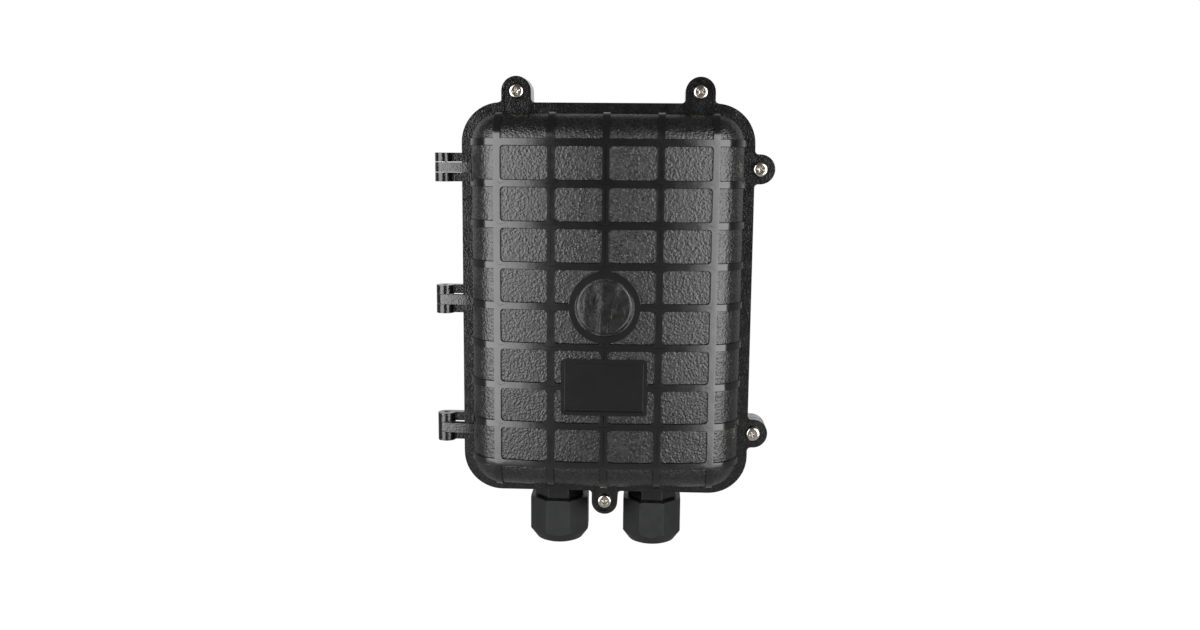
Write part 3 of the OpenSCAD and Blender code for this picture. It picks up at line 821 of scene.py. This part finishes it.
        def dome_face(face: bmesh.types.BMFace) -> bool:
            mid = face.calc_center_median()
            return mid.y < level and abs(mid.x) < reach_x and abs(mid.z) < reach_z

        with editing(obj):
            pick_faces(obj, dome_face)
            bpy.ops.mesh.delete(type="FACE")
        Finishes.FINE_ABS.put_on(obj)
        return eased(obj, MOULD_EASE)

    def badge(self) -> bpy.types.Object:
        """Turns the round badge: a flat ring round a stepped, slightly dished disc."""
        bpy.ops.object.select_all(action="DESELECT")
        bpy.ops.mesh.primitive_cylinder_add(
            vertices=96, radius=self.badge_r, depth=2.4 * MM, location=(0, 0, -1.2 * MM)
        )
        obj = settle(bpy.context.object)
        obj.name = obj.data.name = "cover_badge"
        steps = (  # inset, then how far the face inside it moves outwards
            (3.75, 0.0),
            (0.3, -0.6),
            (0.95, 0.0),
            (0.2, 0.3),
            (0.45, 0.0),
            (0.25, -0.4),
            (4.5, -0.06),
            (5.0, -0.04),
        )
        with editing(obj):
            pick_faces(obj, lambda f: f.normal.z > 0.9)
            for inset, depth in steps:
                bpy.ops.mesh.inset(thickness=inset * MM, depth=depth * MM)
        finish_with(
            obj,
            "BEVEL",
            width=0.22 * MM,
            segments=2,
            limit_method="ANGLE",
            angle_limit=math.radians(30),
        )
        for vert in obj.data.vertices:
            vert.co.z -= self.sag(vert.co.x)
        upright = Matrix.Rotation(math.pi / 2, 4, "X")
        obj.data.transform(Matrix.Translation((0, -self.top, 0)) @ upright)
        obj.data.materials.append(Finishes.SATIN_ABS.value.build())
        obj.data.materials.append(Finishes.FLOW_ABS.value.build())
        with editing(obj):
            pick_faces(obj, lambda f: math.hypot(*f.calc_center_median().xz) < self.disc_r)
            obj.active_material_index = 1
            bpy.ops.object.material_slot_assign()
        return obj

    def plaque(self) -> bpy.types.Object:
        """Builds the bare plaque: a rounded frame round a sunken smooth panel."""
        half = Vector((self.plaque_mm[0], 0, self.plaque_mm[1])) * MM / 2
        mid_z = self.plaque_z
        obj = box_of(
            "cover_plaque",
            Vector((-half.x, -self.top, mid_z - half.z)),
            Vector((half.x, -self.top + 2.4 * MM, mid_z + half.z)),
        )
        with editing(obj, "EDGE"):
            pick_edges(obj, lambda e: abs((e.verts[0].co - e.verts[1].co).y) > 1 * MM)
            bpy.ops.mesh.bevel(offset=2.2 * MM, segments=5, affect="EDGES")
        with editing(obj):
            pick_faces(obj, lambda f: f.normal.y < -0.9)
            bpy.ops.mesh.inset(thickness=2.1 * MM)
            bpy.ops.mesh.inset(thickness=0.3 * MM, depth=-0.85 * MM)
        self.slice(obj, 0, [i * 4 * MM for i in range(-5, 6)])
        finish_with(
            obj,
            "BEVEL",
            width=0.3 * MM,
            segments=2,
            limit_method="ANGLE",
            angle_limit=math.radians(35),
        )
        for vert in obj.data.vertices:
            vert.co.y += self.sag(vert.co.x)
        Finishes.SATIN_ABS.put_on(obj)
        return obj

    def build(self) -> None:
        """Builds and dresses the whole cover."""
        skin, inside, rim = self.skin(), self.hollow(), self.rim()
        badge, plaque = self.badge(), self.plaque()
        for piece in (skin, inside, badge, plaque):
            smooth(piece)
        for piece in (skin, inside, rim, badge, plaque):
            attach(piece, self.body)
            LOG.info("%s: %d faces", piece.name, len(piece.data.polygons))
        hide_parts("cover_shell")


# ---- the base and what it carries ----


@dataclass
class BaseMoulding:
    """The deep base with its hinge knuckles, gasket and threaded inserts."""

    body: str = "base"

    def build(self) -> None:
        """Builds and dresses the base."""
        shell = eased(copy_of("base_shell", "base_moulding"), MOULD_EASE)
        Finishes.FINE_ABS.put_on(shell)
        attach(shell, self.body)
        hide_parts("base_shell")
        for node, finish in {
            "cover_gasket": Finishes.SEAL_RUBBER,
            "threaded_inserts": Finishes.BRASS,
            "hinge_pin_top": Finishes.STEEL,
            "hinge_pin_middle": Finishes.STEEL,
            "hinge_pin_bottom": Finishes.STEEL,
        }.items():
            finish.assign(bpy.data.objects[node])
        LOG.info("%s: %d faces", shell.name, len(shell.data.polygons))


@dataclass
class CoverScrews:
    """The captive cover screws: nickel-plated pan heads with a cross recess.

    Attributes:
        names: The corners and sides that they sit at.
        head_r: Radius of a head.
        head_h: Height of a head.
        shank_r: Radius of a shank.
        recess_arm: Length of one arm of the cross recess.
        recess_half: Half width of an arm.
        recess_h: Depth of the recess.
        turns: Turn of the first screw, and how much further each next one is turned, in degrees.
    """

    names: tuple[str, ...] = ("top_left", "top_right", "upper_right", "lower_right", "bottom")
    head_r: float = 4.2 * MM
    head_h: float = 2.9 * MM
    shank_r: float = 1.7 * MM
    recess_arm: float = 2.5 * MM
    recess_half: float = 0.52 * MM
    recess_h: float = 1.6 * MM
    turns: tuple[int, int] = (17, 31)

    def model(self, length: float) -> bpy.types.Object:
        """Models one screw with its head's underside at the origin, pointing along -Z.

        Args:
            length: Length of its shank.

        Returns:
            The finished screw.
        """
        bpy.ops.object.select_all(action="DESELECT")
        bpy.ops.mesh.primitive_cylinder_add(
            vertices=48, radius=self.head_r, depth=self.head_h, location=(0, 0, self.head_h / 2)
        )
        head = settle(bpy.context.object)
        head.name = head.data.name = "screw_model"
        dome = self.head_h * 0.58
        with editing(head, "EDGE"):
            pick_edges(head, lambda e: all(v.co.z > self.head_h - 1e-6 for v in e.verts))
            bpy.ops.mesh.bevel(offset=dome, segments=7, affect="EDGES", profile=0.55)
        with editing(head):
            pick_faces(head, lambda f: f.normal.z < -0.9)
            bpy.ops.mesh.inset(thickness=self.head_r - self.shank_r)
            bpy.ops.mesh.extrude_region_move(
                TRANSFORM_OT_translate={"value": (0, 0, -length + 0.6 * MM)}
            )
            bpy.ops.mesh.inset(thickness=0.45 * MM, depth=0.6 * MM)
        for angle in (0.0, math.pi / 2):
            cutter = box_of(
                "cross_cutter",
                Vector((-self.recess_arm, -self.recess_half, self.head_h - self.recess_h)),
                Vector((self.recess_arm, self.recess_half, self.head_h + 1 * MM)),
            )
            for vert in cutter.data.vertices:
                if vert.co.z < self.head_h:
                    vert.co.x *= 0.42
                    vert.co.y *= 0.7
            cutter.data.transform(Matrix.Rotation(angle, 4, "Z"))
            cut(head, cutter)
        finish_with(
            head,
            "BEVEL",
            width=0.12 * MM,
            segments=2,
            limit_method="ANGLE",
            angle_limit=math.radians(40),
        )
        return head

    def build(self) -> None:
        """Copies the screw to each place, each copy turned a little differently."""
        low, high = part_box("cover_screw_bottom")
        model = self.model(high.y - low.y - self.head_h)
        for i, name in enumerate(self.names):
            node = "cover_screw_" + name
            low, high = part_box(node)
            screw = bpy.data.objects.new("screw_" + name, model.data.copy())
            bpy.context.scene.collection.objects.link(screw)
            place = Vector(((low.x + high.x) / 2, low.y + self.head_h, (low.z + high.z) / 2))
            turn = Matrix.Rotation(math.radians(self.turns[0] + self.turns[1] * i), 4, "Z")
            stand = Matrix.Rotation(math.pi / 2, 4, "X")
            screw.data.transform(Matrix.Translation(place) @ stand @ turn)
            Finishes.NICKEL.put_on(screw)
            smooth(screw)
            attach(screw, node)
            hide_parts(node)
        bpy.data.objects.remove(model)
        LOG.info("cover screws: %d", len(self.names))


@dataclass
class CableGlands:
    """Two cable glands: polished body, matt octagonal nut, rubber seal and clamping claw."""

    sides: tuple[str, ...] = ("left", "right")

    def build(self) -> None:
        """Builds and dresses both glands."""
        for side in self.sides:
            nut = eased(copy_of(f"gland_nut_{side}", f"dome_nut_{side}"), 0.5 * MM, 20.0)
            Finishes.MATT_NYLON.put_on(nut)
            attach(nut, f"gland_nut_{side}")
            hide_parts(f"gland_nut_{side}")
            body = eased(copy_of(f"gland_body_{side}", f"gland_fitting_{side}"), 0.4 * MM)
            Finishes.GLOSS_NYLON.put_on(body)
            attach(body, "base")
            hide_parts(f"gland_body_{side}")
            for part, finish in {
                "seal": Finishes.SEAL_RUBBER,
                "claw": Finishes.NATURAL_NYLON,
                "lock_nut": Finishes.MATT_NYLON,
                "face_seal": Finishes.SEAL_RUBBER,
            }.items():
                finish.assign(bpy.data.objects[f"gland_{part}_{side}"])
            faces = [len(piece.data.polygons) for piece in (nut, body)]
            LOG.info("gland %s: %d + %d faces", side, *faces)


@dataclass
class SpliceTray:
    """The swing-out tray with its clear lid, splice holders, bracket and clamps."""

    finishes: dict[str, Finishes] = field(
        default_factory=lambda: {
            "splice_tray": Finishes.WHITE_ABS,
            "tray_lid": Finishes.CLEAR_PC,
            "splice_holder_left": Finishes.GREY_ABS,
            "splice_holder_right": Finishes.GREY_ABS,
            "tray_bracket": Finishes.SATIN_ABS,
            "tray_pivot_pin": Finishes.STEEL,
            "bracket_screws": Finishes.NICKEL,
            "cable_clamp_left": Finishes.STEEL,
            "cable_clamp_right": Finishes.STEEL,
            "clamp_screws": Finishes.NICKEL,
        }
    )

    def build(self) -> None:
        """Dresses the tray and the small fittings inside."""
        for node, finish in self.finishes.items():
            finish.assign(bpy.data.objects[node])
        LOG.info("tray and fittings: %d nodes dressed", len(self.finishes))


# ---- the studio ----


@dataclass(frozen=True)
class Lamp:
    """One kind of rectangular soft light, hung at both sides of the closure.

    Attributes:
        name: Its name, before the side's.
        place: Its middle on the right-hand side.
        size: Its width and height.
        power: Its power in watts.
        shine: Whether it is only a reflection in glossy surfaces, and gives no other light.
    """

    name: str
    place: tuple[float, float, float]
    size: tuple[float, float]
    power: float
    shine: bool = False

    def hang(self, side: int, side_name: str) -> None:
        """Hangs the lamp at one side, facing the closure.

        Args:
            side: -1 for the left and 1 for the right.
            side_name: The side's name.
        """
        x, y, z = self.place
        at = Vector((side * x, y, z))
        data = bpy.data.lights.new(f"{self.name}_{side_name}", "AREA")
        data.shape = "RECTANGLE"
        data.size, data.size_y = self.size
        data.energy = self.power
        obj = bpy.data.objects.new(data.name, data)
        obj.matrix_world = Matrix.Translation(at) @ (
            (Vector((0, -0.04, 0)) - at).to_track_quat("-Z", "Y").to_matrix().to_4x4()
        )
        obj.visible_diffuse = not self.shine
        bpy.context.scene.collection.objects.link(obj)


@dataclass
class Studio:
    """Floor, soft light and camera.

    Attributes:
        eye: The camera's place.
        target: What it looks at.
        roll: Its roll in degrees.
        lens: Its focal length in millimetres on a 36 mm wide sensor.
        floor_drop: How far the floor lies below the closure.
        floor_glow: Share of the floor's looks that is plain white, the rest being painted.
        fill: Brightness of the surroundings where they only give light.
        front_gloss: Brightness of the surroundings in front, in glossy surfaces.
        lamps: The lamps that hang at each side.
    """

    eye: Vector = field(default_factory=lambda: Vector((0.0235, -0.6544, 0.0821)))
    target: Vector = field(default_factory=lambda: Vector((-0.0035, -0.0415, -0.0076)))
    roll: float = 0.47
    lens: float = 33.0
    floor_drop: float = 0.25
    floor_glow: float = 0.93
    fill: float = 0.3
    front_gloss: float = 0.12
    lamps: tuple[Lamp, ...] = (
        Lamp("softbox", (0.66, -0.70, 0.1), (0.7, 1.0), 3.0),
        Lamp("reflector", (0.66, -0.76, 0.1), (0.82, 1.0), 14.0, shine=True),
    )

    def camera(self) -> None:
        """Sets the camera at the product's usual catalogue angle."""
        data = bpy.data.cameras.new("catalogue_camera")
        data.lens, data.sensor_width, data.clip_start = self.lens, 36.0, 0.01
        obj = bpy.data.objects.new("catalogue_camera", data)
        aim = (self.target - self.eye).to_track_quat("-Z", "Y").to_matrix().to_4x4()
        turn = Matrix.Rotation(math.radians(self.roll), 4, "Z")
        obj.matrix_world = Matrix.Translation(self.eye) @ aim @ turn
        bpy.context.scene.collection.objects.link(obj)
        bpy.context.scene.camera = obj

    def world(self) -> None:
        """White surroundings where they are seen, and soft grey ones where they give light."""
        world = bpy.data.worlds.new("white_studio")
        bpy.context.scene.world = world
        world.use_nodes = True
        tree = world.node_tree
        tree.nodes.clear()
        seen = seen_by(tree, "Is Camera Ray", "Is Glossy Ray", "Is Transmission Ray")
        side = add_node(tree, "ShaderNodeTexCoord").outputs["Generated"]
        towards = add_node(
            tree, "ShaderNodeVectorMath", {0: side, 1: (0.0, 1.0, -0.8)}, operation="DOT_PRODUCT"
        )
        dim = add_node(
            tree,
            "ShaderNodeMapRange",
            {
                "Value": towards.outputs["Value"],
                "From Min": -0.2,
                "From Max": 0.8,
                "To Min": self.front_gloss,
            },
            interpolation_type="SMOOTHSTEP",
        )
        gloss = add_node(
            tree,
            "ShaderNodeMix",
            {0: seen_by(tree, "Is Glossy Ray"), 2: 1.0, 3: dim.outputs["Result"]},
            data_type="FLOAT",
        )
        strength = add_node(
            tree,
            "ShaderNodeMix",
            {0: seen, 2: self.fill, 3: gloss.outputs[0]},
            data_type="FLOAT",
        )
        shade = add_node(
            tree,
            "ShaderNodeBackground",
            {"Color": (1.0, 1.0, 1.0, 1.0), "Strength": strength.outputs[0]},
        )
        add_node(tree, "ShaderNodeOutputWorld", {"Surface": shade.outputs["Background"]})

    def floor(self) -> None:
        """Lays a plain pale floor that keeps the closure's soft shadow."""
        low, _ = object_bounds()
        bpy.ops.object.select_all(action="DESELECT")
        bpy.ops.mesh.primitive_plane_add(size=12, location=(0, 0, low[2] - self.floor_drop))
        obj = settle(bpy.context.object)
        obj.name = "studio_floor"
        made = bpy.data.materials.new("pale_floor_paint")
        made.use_nodes = True
        tree = made.node_tree
        tree.nodes.clear()
        seen = seen_by(tree, "Is Camera Ray", "Is Transmission Ray")
        share = add_node(
            tree, "ShaderNodeMath", {0: seen, 1: self.floor_glow}, operation="MULTIPLY"
        )
        paint = add_node(tree, "ShaderNodeBsdfDiffuse", {"Color": linear("#f4f4f4")})
        glow = add_node(tree, "ShaderNodeEmission", {"Strength": 1.06})
        mix = add_node(
            tree,
            "ShaderNodeMixShader",
            {0: share.outputs["Value"], 1: paint.outputs["BSDF"], 2: glow.outputs["Emission"]},
        )
        add_node(tree, "ShaderNodeOutputMaterial", {"Surface": mix.outputs["Shader"]})
        obj.data.materials.append(made)
        obj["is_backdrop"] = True

    def build(self) -> None:
        """Sets up the whole studio."""
        self.camera()
        self.world()
        self.floor()
        for side, name in ((-1, "left"), (1, "right")):
            for lamp in self.lamps:
                lamp.hang(side, name)
        bpy.context.scene.view_settings.view_transform = "Standard"
        LOG.info("studio: ready")


def main() -> None:
    """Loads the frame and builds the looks."""
    logging.basicConfig(level=logging.INFO, format="%(name)s: %(message)s")
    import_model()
    only(bpy.data.objects["base_shell"])
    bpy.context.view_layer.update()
    CoverMoulding().build()
    BaseMoulding().build()
    CoverScrews().build()
    CableGlands().build()
    SpliceTray().build()
    Studio().build()


if __name__ == "__main__":
    main()
